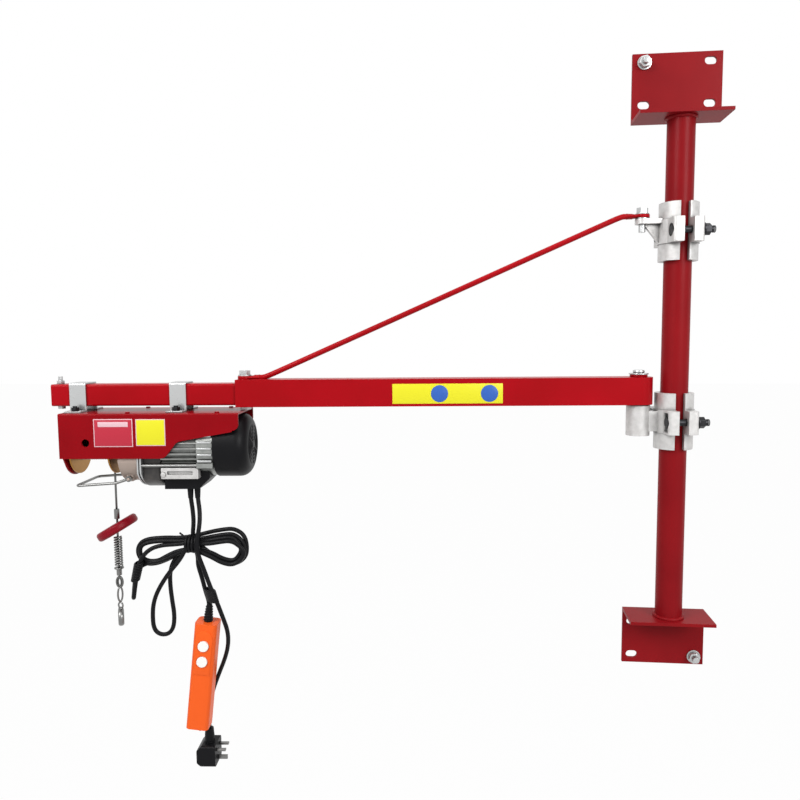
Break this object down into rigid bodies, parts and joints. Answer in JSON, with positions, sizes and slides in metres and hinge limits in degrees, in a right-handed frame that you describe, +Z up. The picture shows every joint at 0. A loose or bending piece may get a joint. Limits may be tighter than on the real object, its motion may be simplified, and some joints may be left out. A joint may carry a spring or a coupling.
{
  "type": "wall-mounted hoist swing arm with wire-rope hoist",
  "caption": "Wall-mounted swing arm: a round mast on two slotted angle brackets, clamped hinges, a telescopic square arm with a tie rod, and an electric wire-rope hoist.",
  "frame": {"origin": "middle of the lower wall bracket's face on the wall", "axes": "+X along the wall to the right seen from the room, +Y into the wall, +Z up along the mast; the arm points towards -X and 4.6 degrees away from the wall at rest"},
  "size_m": [1.2169, 0.2043, 1.326],
  "materials": {
    "dark_red_paint": "semi-gloss",
    "red_paint": "semi-gloss",
    "hoist_red": "gloss",
    "grey_paint": "satin",
    "cast_metal": "as cast",
    "motor_aluminium": "as cast",
    "dark_casting": "matt",
    "zinc_steel": "bright zinc",
    "bright_steel": "satin",
    "rope_steel": "galvanised",
    "yellow_zinc": "yellow passivated",
    "black_steel": "black oxide",
    "black_plastic": "moulded",
    "red_plastic": "moulded",
    "orange_plastic": "moulded",
    "white_plastic": "moulded",
    "black_rubber": "smooth rubber"
  },
  "bodies": {
    "wall_mast": {"mast_tube": "dark_red_paint", "upper_wall_bracket": "dark_red_paint", "lower_wall_bracket": "dark_red_paint"},
    "clamp_set": {"upper_clamp_pivot_half": "cast_metal", "upper_clamp_cap": "cast_metal", "lower_clamp_pivot_half": "cast_metal", "lower_clamp_cap": "cast_metal", "upper_clamp_bolts": "black_steel", "lower_clamp_bolts": "black_steel", "tie_rod_washer": "zinc_steel", "tie_rod_pivot_bolt": "zinc_steel"},
    "arm": {"arm_tube": "red_paint", "arm_pivot_sleeve": "zinc_steel", "arm_pivot_washer": "zinc_steel", "arm_pivot_bolt": "zinc_steel", "extension_tube": "red_paint", "end_stop_bolt": "zinc_steel", "tie_rod": "red_paint", "tie_rod_foot_bolt": "zinc_steel", "hanger_strap_left": "zinc_steel", "hanger_strap_right": "zinc_steel", "hoist_frame": "hoist_red", "drum_hub_housing": "grey_paint", "gearbox_flange": "bright_steel", "gearbox": "dark_casting", "motor_body": "motor_aluminium", "motor_end_bell": "motor_aluminium", "motor_tie_bolts": "bright_steel", "fan_cover": "black_plastic", "control_box": "black_plastic", "motor_foot": "cast_metal", "hoist_rope": "rope_steel", "pendant_housing": "orange_plastic", "hanger_strap_bolts": "black_steel", "cord_glands": "black_rubber", "pendant_lead_upper": "black_rubber", "cord_tie": "black_rubber", "cord_hank_left": "black_rubber", "cord_hank_right": "black_rubber", "cord_drop_loop": "black_rubber", "pendant_lead_lower": "black_rubber", "pendant_boot": "black_rubber", "mains_lead": "black_rubber", "mains_plug": "black_plastic", "plug_pins": "bright_steel"},
    "drum": {"rope_drum": "rope_steel", "drum_flanges": "yellow_zinc"},
    "load": {"rope_end": "rope_steel", "upper_ferrule": "bright_steel", "limit_disc": "red_plastic", "buffer_spring": "bright_steel", "lower_ferrule": "bright_steel", "rope_thimble": "zinc_steel", "hook_link": "zinc_steel", "load_hook": "black_steel"},
    "limit_switch": {"limit_lever": "bright_steel"},
    "up_button": {"pendant_up_button": "white_plastic"},
    "down_button": {"pendant_down_button": "white_plastic"}
  },
  "joints": [
    {"name": "clamp_turn", "type": "hinge", "parent": "wall_mast", "child": "clamp_set", "pos_m": [0, -0.04, 0.593], "axis": [0, 0, 1], "range_deg": [0, 80]},
    {"name": "arm_swing", "type": "hinge", "parent": "clamp_set", "child": "arm", "pos_m": [-0.06479, -0.04521, 0.425], "axis": [0, 0, 1], "range_deg": [-3, 95]},
    {"name": "hook_lift", "type": "slide", "parent": "arm", "child": "load", "axis": [0, 0, 1], "range_m": [-1.5, 0.06], "deforming": ["hoist_rope"]},
    {"name": "drum_spin", "type": "hinge", "parent": "arm", "child": "drum", "pos_m": [-1.06157, -0.12541, 0.375], "axis": [0.9968, 0.0802, 0], "range_deg": [-4800, 200]},
    {"name": "limit_lever_lift", "type": "hinge", "parent": "arm", "child": "limit_switch", "pos_m": [-0.9888, -0.11956, 0.327], "axis": [-0.0802, 0.9968, 0], "range_deg": [0, 6], "stiffness_Nm_per_rad": 0.6, "springref_deg": -5.73},
    {"name": "up_button_press", "type": "slide", "parent": "arm", "child": "up_button", "axis": [-0.0802, 0.9968, 0], "range_m": [0, 0.003], "stiffness_N_per_m": 400, "springref_m": -0.001},
    {"name": "down_button_press", "type": "slide", "parent": "arm", "child": "down_button", "axis": [-0.0802, 0.9968, 0], "range_m": [0, 0.003], "stiffness_N_per_m": 400, "springref_m": -0.001}
  ],
  "couplings": [
    {"joint": "drum_spin", "follows": "hook_lift", "rad_per_m": 55.556}
  ]
}
